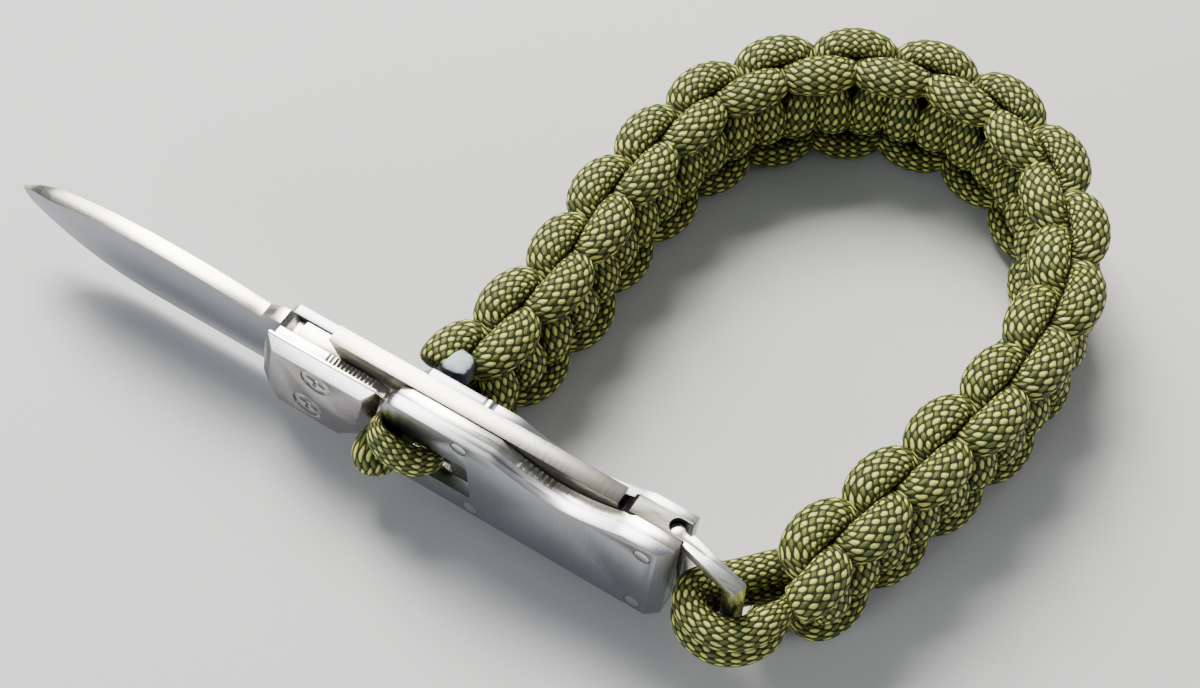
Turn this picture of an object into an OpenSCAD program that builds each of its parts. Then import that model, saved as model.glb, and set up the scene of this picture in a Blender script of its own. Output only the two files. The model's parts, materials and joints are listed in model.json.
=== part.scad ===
/* [Band] */
// Knots in the whole length of the band
knots = 17; // [14:1:17]
// Half of the width of the pressed cord, where it crosses and bends
cord_wide = 2.3; // [2:0.02:2.34]
// Half of the thickness of the pressed cord
cord_high = 1.68; // [1.5:0.02:1.7]
// How far the edge bends lie above and below the band's middle
bend_up = 6.62; // [6.6:0.02:7.2]
// How far a knot's front crossing stands out from the band's middle
cross_out = 2.92; // [2.88:0.02:3.1]
// How far an edge bend lies in from the band's middle
bend_in = 2.4; // [2.36:0.02:2.6]
// Half of the core cord's thickness inside the knots
core_r = 1.05; // [0.9:0.05:1.1]
// Height of each core strand above or below the middle
core_up = 1.15; // [1.1:0.05:1.25]
// Half of the core cord's thickness where it loops round the bail
loop_r = 1.8; // [1.5:0.05:1.85]

/* [Clasp plates] */
// Length of the clasp's housing
housing_long = 35.4; // [35:0.2:37]
// Height of the housing
housing_high = 15.5; // [15:0.1:16.5]
// How much shorter the housing is along its lower edge
end_slant = 1.2; // [0.6:0.1:1.6]
// Clear height under the clasp when the bracelet stands on its edge
clasp_lift = 2.0; // [1.5:0.1:2.5]
// Thickness of the front plate and the bolster
front_thick = 1.5; // [1.2:0.1:1.8]
// Thickness of the front liner
liner_thick = 1.35; // [1:0.05:1.6]
// Width of the middle slot that the blade folds into
slot_wide = 2.4; // [2.3:0.1:3]
// Thickness of the back plate
back_thick = 1.2; // [1:0.1:1.6]
// Depth of the thumb dip in the housing's top edge
dip_deep = 2.4; // [1:0.1:2.4]
// Width of the window's left bar, which the cord turns round
window_bar = 2.2; // [2:0.1:2.6]
// Length of the window
window_long = 8.4; // [7.8:0.1:8.8]
// Height of the window
window_high = 6.5; // [5.9:0.1:6.8]
// Length of the bolster at its lower edge
bolster_long = 11.6; // [10:0.2:12]
// Width of the bolster's polished bevel
bevel_wide = 1.5; // [0.8:0.1:1.8]

/* [Blade and lock] */
// Length from the pivot to the blade's tip
blade_long = 42.3; // [38:0.1:42.3]
// Height of the blade
blade_high = 12.7; // [11.5:0.1:12.7]
// Thickness of the blade at its spine
blade_thick = 2.0; // [1.6:0.1:2.1]
// Half of the pivot pin's thickness
pivot_r = 1.5; // [1.2:0.1:2]
// Half of the round tang's width
tang_r = 7.0; // [6.4:0.1:7]
// Thickness of the lock bar
lock_thick = 2.2; // [2:0.05:2.2]
// Half of a rivet's thickness
rivet_r = 0.95; // [0.8:0.05:1.1]
// Half of a bolster screw head's width
screw_r = 1.9; // [1.6:0.1:2]

/* [Bail and keeper] */
// Thickness of the bail
bail_thick = 1.8; // [1.5:0.1:1.9]
// Length from the bail's barrel to the middle of its outer bar
bail_long = 8.2; // [8:0.1:8.6]
// Height of the bail
bail_high = 13.2; // [12.8:0.1:13.6]
// Half of the barrel's thickness
barrel_r = 0.85; // [0.7:0.05:0.9]
// Degrees that the bail is swung towards the front
bail_swing = 15; // [12:1:18]
// Half of the thickness of the keeper bar behind the back plate
keeper_r = 0.55; // [0.45:0.05:0.6]

/* [Hidden] */
$fn = 48;

// clearances
seat_gap = 0.05;    // between pieces that are fastened together
turn_gap = 0.05;    // round the pivot and the lock bar's pin
free_gap = 0.3;     // between pieces that move past each other

// depths of the clasp's layers, measured back from the front face
liner_y = front_thick + seat_gap;
slot_y = liner_y + liner_thick;
back_y = slot_y + slot_wide;
rear_y = back_y + back_thick;
slot_mid = slot_y + slot_wide/2;
pin_seat = liner_thick*0.55;
screw_seat = liner_thick*0.45;

// places along the clasp and heights above its lower edge
tip_room = 5.7;
bolster_room = 1;
pivot_at = [min(housing_long - tip_room - blade_long, -bolster_long - bolster_room), 6];
lock_pin_at = [9.8, 13.85];
front_rivet_at = [10.4, 1.25];
upper_rivet_at = [housing_long - 3.1, housing_high - 2.3];
lower_rivet_at = [housing_long - end_slant - 2.9, 1.4];
upper_screw_at = [pivot_at[0] + 3.2, 10];
lower_screw_at = [pivot_at[0] + 1.2, 3.6];
barrel_at = [housing_long - 1.3, slot_y + 1.25];
top_line = housing_high - 0.3;
back_top = housing_high - 1;
dip_from = 13.4;
dip_to = housing_long - 5.4;
strap_low = 0.8;
bolster_top = housing_high - 1.9;
strap_top = housing_high - 2.9;
back_strap_top = housing_high - 3.3;
strap_left = pivot_at[0] - 4.6;
tang_top = housing_high - 3.4;
hook_low = housing_high - 3.6;
hook_long = 1.2;
lock_under = housing_high - 2.9;
nose_left = pivot_at[0] + 3.6;
nose_lean = 1.4;
tip_up = 8.5;
block_long = 6.9;
block_left = housing_long - block_long;
lock_tail = block_left - 0.9;

// the keeper bar's place behind the clasp
keeper_run = -0.75;

// chosen points along the band's middle line, from the keeper to the bail
band_route = [[3.7, 9.8], [4.8, 17.2], [5.7, 26.7], [5.1, 36.3], [5.7, 45.6],
  [7.0, 53.9], [11.0, 62.0], [17.0, 68.0], [24.7, 71.8], [33.6, 72.8],
  [43.0, 69.7], [50.3, 62.1], [54.3, 53.2], [54.7, 40.3], [52.8, 30.8],
  [50.4, 21.4], [47.8, 12.0], [46.9, 7.2]];

// chosen points of the cord's loop round the bail, from the band and back
loop_route = [[46.5, 5.2], [45.8, 2.5], [44.5, 0.2], [42.3, -1.1], [39.9, -1.0],
  [38.2, 0.0], [37.5, 1.6], [38.2, 3.1], [39.8, 4.6], [41.4, 6.2], [42.6, 7.8]];

// how far the bail's middle stands from the loop's inner bend: the route and the
// loop stretch by that much
reach = barrel_at[0] + bail_long/2 - loop_route[5][0];

// chosen stations of the cord's turn round the window's bar: place along the
// clasp, depth, height, half width and half thickness
turn_route = [[-0.7, 2.3, 12.2, 0.8, 0.5], [-0.7, 1.2, 12.2, 1.2, 0.5],
  [-0.7, -0.5, 12.1, 1.6, 0.7], [0.3, -1.6, 11.7, 1.9, 1.2],
  [2.3, -1.8, 10.6, 2.0, 1.5], [4.6, -1.2, 9.5, 1.95, 1.3],
  [6.0, 0.4, 8.9, 1.8, 0.9], [5.4, 2.0, 8.4, 1.6, 0.55],
  [3.4, 2.2, 8.1, 1.5, 0.5], [1.2, 2.2, 7.8, 1.5, 0.5],
  [-0.4, 2.0, 7.5, 1.5, 0.55], [-1.4, 1.0, 7.1, 1.5, 0.9],
  [-2.1, -0.6, 6.4, 1.7, 1.2], [-2.4, -1.6, 5.0, 1.9, 1.5],
  [-2.1, -1.7, 3.2, 1.8, 1.5], [-1.6, -1.2, 1.7, 1.4, 1.2]];

// general functions
function unit(v) = v/norm(v);
function turned(v) = [-v[1], v[0]];
function total(v, i = 0) = i < len(v) ? v[i] + total(v, i + 1) : 0;

// smooth curve through a list of points, at place f of span i
function held(i, p) = p[max(0, min(len(p) - 1, i))];
function smooth(p, i, f) = let(a = held(i - 1, p), b = held(i, p), c = held(i + 1, p),
  d = held(i + 2, p)) 0.5*(2*b + (c - a)*f + (2*a - 5*b + 4*c - d)*f*f
  + (3*b - a - 3*c + d)*f*f*f);
function curve(p, steps) = concat([for (i = [0:len(p) - 2]) for (k = [0:steps - 1])
  smooth(p, i, k/steps)], [p[len(p) - 1]]);

// the band's middle line as a table of lengths, with a straight run at each end
first_point = band_route[0];
last_point = band_route[len(band_route) - 1];
route_line = curve([for (p = band_route)
  [p[0] + reach*(p[0] - first_point[0])/(last_point[0] - first_point[0]), p[1]]], 8);
route_steps = [for (i = [1:len(route_line) - 1]) norm(route_line[i] - route_line[i - 1])];
route_sums = [for (i = 0, sum = 0; i <= len(route_steps); sum = sum
  + (i < len(route_steps) ? route_steps[i] : 0), i = i + 1) sum];
route_long = route_sums[len(route_sums) - 1];
run_out = 12;
first_way = unit(route_line[1] - route_line[0]);
last_way = unit(route_line[len(route_line) - 1] - route_line[len(route_line) - 2]);
whole_line = concat([route_line[0] - run_out*first_way], route_line,
  [route_line[len(route_line) - 1] + run_out*last_way]);
whole_sums = concat([-run_out], route_sums, [route_long + run_out]);
table_x = [for (i = [0:len(whole_line) - 1]) [whole_sums[i], whole_line[i][0]]];
table_y = [for (i = [0:len(whole_line) - 1]) [whole_sums[i], whole_line[i][1]]];
function along(s) = [lookup(s, table_x), lookup(s, table_y)];
function heading(s) = unit(along(s + 0.9) - along(s - 0.9));

// the last part of the band rises towards the bail's middle
end_rise = 0.4;
rise_from = 0.7*route_long;
function rise(s) = let(f = max(0, min(1, (s - rise_from)/(route_long - rise_from))))
  end_rise*f*f*(3 - 2*f);

// a point of the straight band, given as length, height and distance outwards,
// is bent with the band's middle line
function bent(q) = let(c = along(q[0]), n = turned(heading(q[0])))
  [c[0] + q[2]*n[0], c[1] + q[2]*n[1], band_mid + rise(q[0]) + q[1]];

// one cord of the weave: it runs up and down the band, crosses the front or the
// back at each half knot and bends round the edge between the crossings
half_knot = route_long/(2*knots);
weave_from = 0.965;
weave_to = 2*knots + 1.125;
weave_rings = 8;
cord_sides = 8;
leg_share = 0.505;
thin_share = 0.62;
sway = 0.516;
sway_twice = 0.178;
cross_mid = (cross_out - bend_in)/2;
cross_half = (cross_out + bend_in)/2;
function weave_at(u, face) = [
  half_knot*(u - 1 + sway*sin(360*u) + sway_twice*sin(720*u)),
  face*bend_up*cos(180*u),
  face*(cross_mid - cross_half*cos(360*u))];
function straight_ring(u, face) = let(
  p = weave_at(u, face),
  way = unit(weave_at(u + 0.001, face) - weave_at(u - 0.001, face)),
  rise = [0, p[1], p[2]],
  n = unit(rise - way*(rise*way)),
  b = cross(way, n),
  full = pow(cos(360*u), 2),
  wide = cord_wide*(leg_share + (1 - leg_share)*full),
  high = cord_high*(thin_share + (1 - thin_share)*full))
  [for (k = [0:cord_sides - 1]) let(a = (k + 0.5)*360/cord_sides)
    p + n*high*cos(a) - b*wide*sin(a)];
function weave_ring(u, face) = [for (q = straight_ring(u, face)) bent(q)];
band_mid = -min([for (i = [0:2*weave_rings])
  for (q = straight_ring(1 + i/weave_rings, 1)) q[1]]);
weave_steps = concat([weave_from], [for (i = [0:(weave_to - 1)*weave_rings]) 1 + i/weave_rings]);
function weave_rings_of(face) = [for (u = weave_steps) weave_ring(u, face)];
outer_rings = weave_rings_of(1);
inner_rings = weave_rings_of(-1);

// the core cord: a loop round the bail, one strand, a turn round the keeper bar,
// the other strand and the second loop
keeper_clear = 0.1;
turn_mid = core_up;
squeeze = turn_mid - keeper_r - keeper_clear;
function core_run(side) = [for (i = [0:36]) let(s = 2.2 + (route_long - 1.4)*i/36)
  [[s, side*core_up, 0], i == 0 ? 0.9 : 1]];
function flat_ring(p, way, n, wide, high) = let(b = cross(way, n))
  [for (k = [0:cord_sides - 1]) let(a = (k + 0.5)*360/cord_sides)
    p + n*wide*cos(a) + b*high*sin(a)];
function strand_rings(side) = [for (c = core_run(side)) let(s = c[0][0],
  p = bent(c[0]), w = heading(s), way = [-side*w[0], -side*w[1], 0],
  n = [turned(w)[0], turned(w)[1], 0]) flat_ring(p, way, n, core_r, core_r*c[1])];
turn_rings = [for (a = [80:-20:-80]) let(
  w = heading(0), n = [turned(w)[0], turned(w)[1], 0],
  p = bent([keeper_run - turn_mid*cos(a), turn_mid*sin(a), 0]),
  way = [w[0]*-sin(a), w[1]*-sin(a), -cos(a)])
  flat_ring(p, unit(way), n, core_r*1.1, squeeze)];
loop_line = curve([for (p = loop_route) [p[0] + reach, p[1]]], 4);
loop_up = loop_r + 0.1;
function loop_rings(side) = [for (i = [0:len(loop_line) - 1]) let(
  last = len(loop_line) - 1,
  w = unit(loop_line[min(last, i + 1)] - loop_line[max(0, i - 1)]),
  grown = core_r + (loop_r - core_r)*min(1, i/4),
  n = [turned(w)[0], turned(w)[1], 0],
  up = side*(core_up + (loop_up - core_up)*min(1, (i + 1)/5)))
  flat_ring([loop_line[i][0], loop_line[i][1], band_mid + end_rise + up],
    [-side*w[0], -side*w[1], 0], n, grown, grown)];
function backwards(v) = [for (i = [len(v) - 1:-1:0]) v[i]];
core_rings = concat(backwards(loop_rings(1)), backwards(strand_rings(1)), turn_rings,
  strand_rings(-1), loop_rings(-1));

// the cord's turn round the window's bar
turn_line = curve(turn_route, 2);
function bar_ring(i) = let(last = len(turn_line) - 1, q = turn_line[i],
  a = turn_line[max(0, i - 1)], c = turn_line[min(last, i + 1)],
  way = unit([c[0] - a[0], c[1] - a[1], c[2] - a[2]]),
  drop = max(0, min(1, (i - 20)/6)),
  axis = unit([0.12 - 0.7*drop, -0.6*drop, 1]),
  up = unit(axis - way*(axis*way)),
  n = cross(up, way))
  [for (k = [0:cord_sides - 1]) let(v = (k + 0.5)*360/cord_sides)
    [q[0], q[1], q[2]] + up*q[3]*sin(v) + n*q[4]*cos(v)];
bar_rings = [for (i = [0:len(turn_line) - 1]) bar_ring(i)];

// the part's middle: halfway between its ends, for the origin below it
cord_points = concat([for (r = outer_rings) for (p = r) p],
  [for (r = inner_rings) for (p = r) p], [for (r = core_rings) for (p = r) p],
  [for (r = bar_rings) for (p = r) p]);
tip_x = pivot_at[0] - blade_long;
left_x = min(tip_x, min([for (p = cord_points) p[0]]));
right_x = max([for (p = cord_points) p[0]]);
front_y = min([for (p = cord_points) p[1]]);
far_y = max([for (p = cord_points) p[1]]);
middle = [(left_x + right_x)/2, (front_y + far_y)/2];

// places a piece of the bracelet about the origin
module placed() {
  translate([-middle[0], -middle[1], 0]) children();
}

// places a piece of the clasp, which is lifted clear of the surface
module clasp() {
  placed() translate([0, 0, clasp_lift]) children();
}

// an upright slab whose outline is given along the clasp and up
module slab(outline, y, thick) {
  translate([0, y + thick, 0]) rotate([90, 0, 0]) linear_extrude(thick) polygon(outline);
}

// a round bar or hole that runs from the front to the back
module across(at, y, thick, r, sides = 48) {
  translate([at[0], y, at[1]]) rotate([-90, 0, 0]) cylinder(h = thick, r = r, $fn = sides);
}

// takes the corner off along the edge from p to q; the piece lies to the left
// of that way, and face is 1 for the front corner or -1 for the back one
module bevel(p, q, y, wide, deep, face = 1) {
  d = q - p;
  translate([p[0], y, p[1]]) rotate([0, -atan2(d[1], d[0]), 0]) translate([-1, 0, 0])
    rotate([90, 0, 90]) linear_extrude(norm(d) + 2)
      polygon([[-face, -1], [face*deep*(1 + 1/wide), -1], [-face, wide*(1 + 1/deep)]]);
}

// the top edge of the housing from right to left, with its thumb dip
function dip_top(top, deep) = [for (i = [0:14]) let(q = i/14)
  [dip_to - (dip_to - dip_from)*q, top - deep*sin(180*q)]];
function housing_side(top, deep, inset = 0) = concat(
  [[inset + 0.4, 0], [housing_long - end_slant, 0], [housing_long, housing_high]],
  top == housing_high ? [] : [[housing_long - 0.1, top]],
  dip_top(top, deep),
  [for (a = [90:15:180]) [inset + 1.7 + 1.7*cos(a), top - 1.7 + 1.7*sin(a)]],
  [[inset, 0.4]]);

// a tube through rings of points, closed at both ends
module cord(rings) {
  n = len(rings);
  m = len(rings[0]);
  polyhedron(points = [for (r = rings) for (p = r) p],
    faces = concat([[for (k = [0:m - 1]) k]],
      [for (i = [0:n - 2]) for (k = [0:m - 1])
        [i*m + k, (i + 1)*m + k, (i + 1)*m + (k + 1)%m]],
      [for (i = [0:n - 2]) for (k = [0:m - 1])
        [i*m + k, (i + 1)*m + (k + 1)%m, i*m + (k + 1)%m]],
      [[for (k = [m - 1:-1:0]) (n - 1)*m + k]]));
}

// a small crosswise grip notch in a top edge
module notch(x, up, size, y, thick) {
  translate([x, y - 0.5, up]) rotate([0, 45, 0]) cube([size, thick + 1, size]);
}

bolster_foot = pivot_at[0] - 4.8;
bolster_end = bolster_foot + bolster_long;
bolster_side = [[bolster_foot, strap_low], [bolster_end, strap_low], [bolster_end + 2.2, 3.3],
  [bolster_end + 4.3, 11], [bolster_end + 4.2, bolster_top],
  [bolster_foot + 1.4, bolster_top], [bolster_foot + 0.4, 10.4], [bolster_foot - 0.9, 4]];

module front_bolster() color("Gainsboro") clasp() difference() {
  slab(bolster_side, 0, front_thick);
  for (i = [2:len(bolster_side) - 1]) bevel(bolster_side[i],
    bolster_side[(i + 1)%len(bolster_side)], 0, bevel_wide, 1.1);
  bevel(bolster_side[1], bolster_side[2], 0, bevel_wide, 1.1);
  for (at = [upper_screw_at, lower_screw_at]) {
    across(at, -1, front_thick + 2, rivet_r + 2*seat_gap);
    across(at, -1, 1 + front_thick*0.6, screw_r + seat_gap);
  }
}

gap_top = housing_high - 3.2;
liner_side = concat(
  [[strap_left, strap_low], [0.4, 0.4], [0.6, 0]],
  [[housing_long - end_slant, 0], [housing_long - 0.1, top_line]],
  dip_top(top_line, dip_deep),
  [[2.2, top_line], [0.8, top_line - 0.5], [0.2, gap_top + 0.9], [-1.2, gap_top],
    [-2.4, gap_top + 0.1], [-2.8, strap_top], [strap_left + 1.4, strap_top],
    [strap_left + 0.6, strap_top - 1]]);

// pocket behind the window's bar, where the flattened cord passes
pocket_low = 3.4;
pocket_high = 8.2;
pocket_left = -2.6;
pocket_reach = 5;
grip_wide = 0.34;
grip_step = 0.65;

module barrel_groove() {
  translate([barrel_at[0], barrel_at[1], -1])
    cylinder(h = housing_high + 2, r = barrel_r + 2*seat_gap);
  translate([barrel_at[0], barrel_at[1] - barrel_r - 2*seat_gap, -1])
    cube([6, 2*barrel_r + 4*seat_gap, housing_high + 2]);
}

module front_liner() color("Silver") clasp() difference() {
  slab(liner_side, liner_y, liner_thick);
  translate([pocket_left, liner_y - 1, pocket_low])
    cube([window_bar + pocket_reach - pocket_left, liner_thick + 2, pocket_high]);
  across(pivot_at, liner_y + pin_seat, liner_thick + 2, pivot_r + seat_gap);
  across(lock_pin_at, liner_y - 1, liner_thick + 2, rivet_r + seat_gap);
  across(front_rivet_at, liner_y - 1, liner_thick + 2, rivet_r + seat_gap);
  across(upper_rivet_at, liner_y - 1, liner_thick + 2, rivet_r + seat_gap);
  across(lower_rivet_at, liner_y - 1, liner_thick + 2, rivet_r + seat_gap);
  across(upper_screw_at, liner_y - 1, 1 + screw_seat + seat_gap, rivet_r + seat_gap);
  across(lower_screw_at, liner_y - 1, 1 + screw_seat + seat_gap, rivet_r + seat_gap);
  for (i = [0:6]) let(x = dip_from + 2.6 + i*grip_step)
    notch(x, top_line - dip_deep*sin(180*(x - dip_from)/(dip_to - dip_from)),
      grip_wide, liner_y, liner_thick);
  for (i = [0:11]) notch(nose_left + 0.6 - i*grip_step*0.8 + 5, strap_top,
    grip_wide*0.8, liner_y, liner_thick);
}

module window_cut() {
  low = 3.7;
  corner = 0.5;
  translate([0, front_thick + 1, 0]) rotate([90, 0, 0]) linear_extrude(front_thick + 2) {
    translate([window_bar + corner, low]) square([window_long - 2*corner, window_high]);
    translate([window_bar, low + corner]) square([window_long, window_high - 2*corner]);
    for (x = [window_bar + corner, window_bar + window_long - corner])
      for (z = [low + corner, low + window_high - corner])
        translate([x, z]) circle(r = corner, $fn = 24);
  }
}

module front_plate() color("LightGray") clasp() difference() {
  slab(housing_side(housing_high, dip_deep*0.9), 0, front_thick);
  bevel([housing_long - end_slant, 0], [housing_long, housing_high], 0, 1.3, 1.1);
  window_cut();
  across(lock_pin_at, -1, front_thick + 2, rivet_r + seat_gap);
  across(front_rivet_at, -1, front_thick + 2, rivet_r + seat_gap);
  across(upper_rivet_at, -1, front_thick + 2, rivet_r + seat_gap);
  across(lower_rivet_at, -1, front_thick + 2, rivet_r + seat_gap);
}

// lugs and bar behind the back plate, which the core cord turns round
module keeper() {
  way = heading(keeper_run);
  at = along(keeper_run);
  lean = atan2(-way[0], way[1]);
  mid = band_mid - clasp_lift;
  for (side = [-1, 1]) translate([at[0], at[1], mid])
    rotate([0, 0, lean]) translate([side*3.1 - 0.7, -4.4, -1.6])
      cube([1.4, 4.4 + keeper_r + 0.1, 3.2]);
  translate([at[0], at[1], mid]) rotate([0, 0, lean])
    rotate([0, 90, 0]) cylinder(h = 6.4, r = keeper_r, center = true);
}

back_side = concat(
  [[strap_left, strap_low], [0.4, 0.4], [0.6, 0]],
  [[housing_long - end_slant, 0], [housing_long - 0.1, back_top]],
  dip_top(back_top, dip_deep),
  [[2.2, back_top], [0.4, back_strap_top], [strap_left + 1.4, back_strap_top],
    [strap_left + 0.6, back_strap_top - 1]]);

module back_plate() color("LightGray") clasp() difference() {
  union() {
    slab(back_side, back_y, back_thick);
    intersection() {
      keeper();
      translate([-run_out, back_y + back_thick/2, 0]) cube([3*run_out, run_out, housing_high]);
    }
  }
  across(pivot_at, back_y - 1, back_thick + 2, pivot_r + seat_gap);
  across(lock_pin_at, back_y - 1, back_thick + 2, rivet_r + seat_gap);
  across(upper_rivet_at, back_y - 1, back_thick + 2, rivet_r + seat_gap);
  across(lower_rivet_at, back_y - 1, back_thick + 2, rivet_r + seat_gap);
}

// outline of the blade: lengths are shares of its length ahead of the pivot,
// and heights are shares of its height
spine_shares = [[0.18, 0.935], [0.27, 0.97], [0.375, 0.995], [0.46, 1], [0.55, 1], [0.65, 0.98],
  [0.743, 0.94], [0.82, 0.89], [0.885, 0.84], [0.94, 0.785]];
edge_shares = [[0.99, 0.54], [0.965, 0.45], [0.93, 0.36], [0.88, 0.25], [0.82, 0.155], [0.76, 0.085],
  [0.7, 0.04], [0.6, 0.01], [0.42, 0], [0.18, 0]];
blade_low = -0.2;
ricasso_low = 0.6;
function blade_point(q) = [pivot_at[0] - q[0]*blade_long, blade_low + q[1]*blade_high];
edge_line = [for (q = edge_shares) blade_point(q)];
nose_low_x = nose_left + nose_lean;
function nose_line(up) = nose_left + nose_lean*(housing_high - 0.1 - up)/(housing_high - 0.1 - hook_low);
tang_side = concat(
  [[nose_line(tang_top) - free_gap, tang_top]],
  [[pivot_at[0] - 1.2, tang_top], [pivot_at[0] - 1.6, tang_top - 0.7],
    [pivot_at[0] - 2.3, tang_top - 0.7], [pivot_at[0] - 2.7, tang_top + 0.2],
    [pivot_at[0] - 3.4, tang_top + 0.6], [pivot_at[0] - 4.4, tang_top + 0.5],
    [pivot_at[0] - 5.6, tang_top - 0.2], [pivot_at[0] - 6.4, tang_top - 0.6]],
  [for (q = spine_shares) blade_point(q)],
  [[tip_x, tip_up]],
  edge_line,
  [[pivot_at[0] - 6.6, ricasso_low], [pivot_at[0] - 4.3, ricasso_low]],
  [for (a = [-50:10:40]) pivot_at + tang_r*[cos(a), sin(a)]],
  [[nose_line(hook_low - 0.8) - free_gap, hook_low - 0.8]]);

module blade() color("LightSteelBlue") clasp() difference() {
  y = slot_mid - blade_thick/2;
  edge = concat([[tip_x, tip_up]], edge_line);
  grind = 0.433*blade_high;
  slab(tang_side, y, blade_thick);
  across(pivot_at, y - 1, blade_thick + 2, pivot_r + turn_gap);
  for (i = [0:len(edge) - 2]) {
    bevel(edge[i], edge[i + 1], y, grind, blade_thick*0.42);
    bevel(edge[i], edge[i + 1], y + blade_thick, grind, blade_thick*0.42, -1);
  }
}

module pivot_pin() color("DimGray") clasp()
  across(pivot_at, liner_y + pin_seat + seat_gap, rear_y - liner_y - pin_seat - seat_gap, pivot_r);

lock_side = [[nose_low_x, hook_low], [nose_low_x + hook_long, hook_low],
  [nose_low_x + 2*hook_long, lock_under], [lock_tail, lock_under],
  [lock_tail, top_line + 0.1], [nose_left, housing_high - 0.1]];

module lock_bar() color("WhiteSmoke") clasp() difference() {
  slab(lock_side, slot_mid - lock_thick/2, lock_thick);
  across(lock_pin_at, slot_y - 1, slot_wide + 2, rivet_r + turn_gap);
}

module lock_pin() color("Gray") clasp() across(lock_pin_at, 0, rear_y, rivet_r);
module end_rivet_upper() color("Gray") clasp() across(upper_rivet_at, 0, rear_y, rivet_r);
module end_rivet_lower() color("Gray") clasp() across(lower_rivet_at, 0, rear_y, rivet_r);
module front_rivet() color("Gray") clasp() across(front_rivet_at, 0, slot_y, rivet_r);

// the block that fills the slot's end; its hook leaves room for the blade's tip
block_leg = pivot_at[0] + blade_long + 0.7;
block_shoulder = pivot_at[1] + 1.2;
block_heel = pivot_at[1] - 0.1;
module end_block() color("DarkKhaki") clasp() difference() {
  slab([[block_leg, 0.1], [housing_long - end_slant, 0.1],
    [housing_long - 0.15, top_line], [block_left + 0.5, top_line],
    [block_left, top_line - 0.5], [block_left, block_shoulder], [block_leg, block_heel]],
    slot_y + seat_gap, slot_wide - 2*seat_gap);
  across(upper_rivet_at, slot_y - 1, slot_wide + 2, rivet_r + seat_gap);
  across(lower_rivet_at, slot_y - 1, slot_wide + 2, rivet_r + seat_gap);
  barrel_groove();
}

module screw(at) {
  head = front_thick*0.5;
  low = front_thick*0.6 - head;
  difference() {
    union() {
      across(at, low, head, screw_r);
      across(at, low + head/2, liner_y + screw_seat - low - head/2, rivet_r);
    }
    for (a = [20, 110]) translate([at[0], low - 0.5, at[1]]) rotate([0, a, 0])
      cube([screw_r*1.3, 1.7, 0.5], center = true);
  }
}

module bolster_screw_upper() color("Gray") clasp() screw(upper_screw_at);
module bolster_screw_lower() color("Gray") clasp() screw(lower_screw_at);

// the bail: a flat ring with a round barrel at its inner end
bail_low = 1.1;
bail_wall = 1.5;
bail_bar = 1.7;
bail_neck = 2;
module bail() color("Silver") clasp() translate([barrel_at[0], barrel_at[1], bail_low])
  rotate([0, 0, -bail_swing]) difference() {
    union() {
      cylinder(h = bail_high, r = barrel_r);
      difference() {
        translate([0, -bail_thick/2, 0]) cube([bail_long + bail_bar/2, bail_thick, bail_high]);
        translate([-0.1, -bail_thick, -1]) cube([bail_neck - 0.45, 2*bail_thick, bail_high + 2]);
      }
      translate([0, -0.5, 0]) cube([bail_neck, 1, bail_high]);
    }
    translate([bail_neck, -bail_thick, bail_wall])
      cube([bail_long - bail_bar/2 - bail_neck, 2*bail_thick, bail_high - 2*bail_wall]);
  }

module core_cord() color("OliveDrab") placed() cord(core_rings);
module outer_weave_cord() color("DarkOliveGreen") placed() cord(outer_rings);
module inner_weave_cord() color("Olive") placed() cord(inner_rings);
module front_cord_turn() color("OliveDrab") placed() cord(bar_rings);

// the melted end of the cord, tucked into the first knot's eye
end_at = [3.6, 8.4, 3.8];
end_long = 2.4;
end_wide = 2.7;
module cord_end() color("DarkSlateGray") placed()
  translate([end_at[0], end_at[1], band_mid + end_at[2]]) rotate([12, 0, 0])
    cylinder(h = end_long, d1 = end_wide, d2 = 0.89*end_wide, $fn = 16);

front_bolster();
front_liner();
front_plate();
back_plate();
blade();
pivot_pin();
lock_bar();
lock_pin();
end_block();
end_rivet_upper();
end_rivet_lower();
front_rivet();
bolster_screw_upper();
bolster_screw_lower();
bail();
core_cord();
outer_weave_cord();
inner_weave_cord();
front_cord_turn();
cord_end();
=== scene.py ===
import json
import logging
import math
from dataclasses import dataclass, field
from enum import Enum
from typing import Callable, Sequence

import bmesh
import bpy
import numpy as np
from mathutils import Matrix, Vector


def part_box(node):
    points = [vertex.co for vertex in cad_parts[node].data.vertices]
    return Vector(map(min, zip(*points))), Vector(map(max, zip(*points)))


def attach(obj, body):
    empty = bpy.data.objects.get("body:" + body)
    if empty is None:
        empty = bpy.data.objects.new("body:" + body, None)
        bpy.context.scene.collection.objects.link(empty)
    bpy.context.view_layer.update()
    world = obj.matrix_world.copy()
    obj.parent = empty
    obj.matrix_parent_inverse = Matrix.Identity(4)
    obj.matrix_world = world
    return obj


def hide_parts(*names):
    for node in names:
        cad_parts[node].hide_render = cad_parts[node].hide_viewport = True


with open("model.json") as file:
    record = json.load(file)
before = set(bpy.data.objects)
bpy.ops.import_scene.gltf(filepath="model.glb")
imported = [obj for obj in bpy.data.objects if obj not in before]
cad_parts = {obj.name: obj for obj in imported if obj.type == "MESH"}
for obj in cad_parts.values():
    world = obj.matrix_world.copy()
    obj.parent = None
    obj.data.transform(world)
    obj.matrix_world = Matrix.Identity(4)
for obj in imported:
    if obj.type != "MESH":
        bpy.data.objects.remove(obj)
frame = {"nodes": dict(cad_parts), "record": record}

LOG = logging.getLogger("paracord_bracelet")
MM = 0.001
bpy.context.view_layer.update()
Triple = tuple[float, float, float]
Colour = Triple
Noise = Triple  # scale, detail and roughness
Socket = bpy.types.NodeSocket
Sockets = dict[str, Socket]
Tree = bpy.types.NodeTree
Material = bpy.types.Material
Array = np.ndarray

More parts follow.
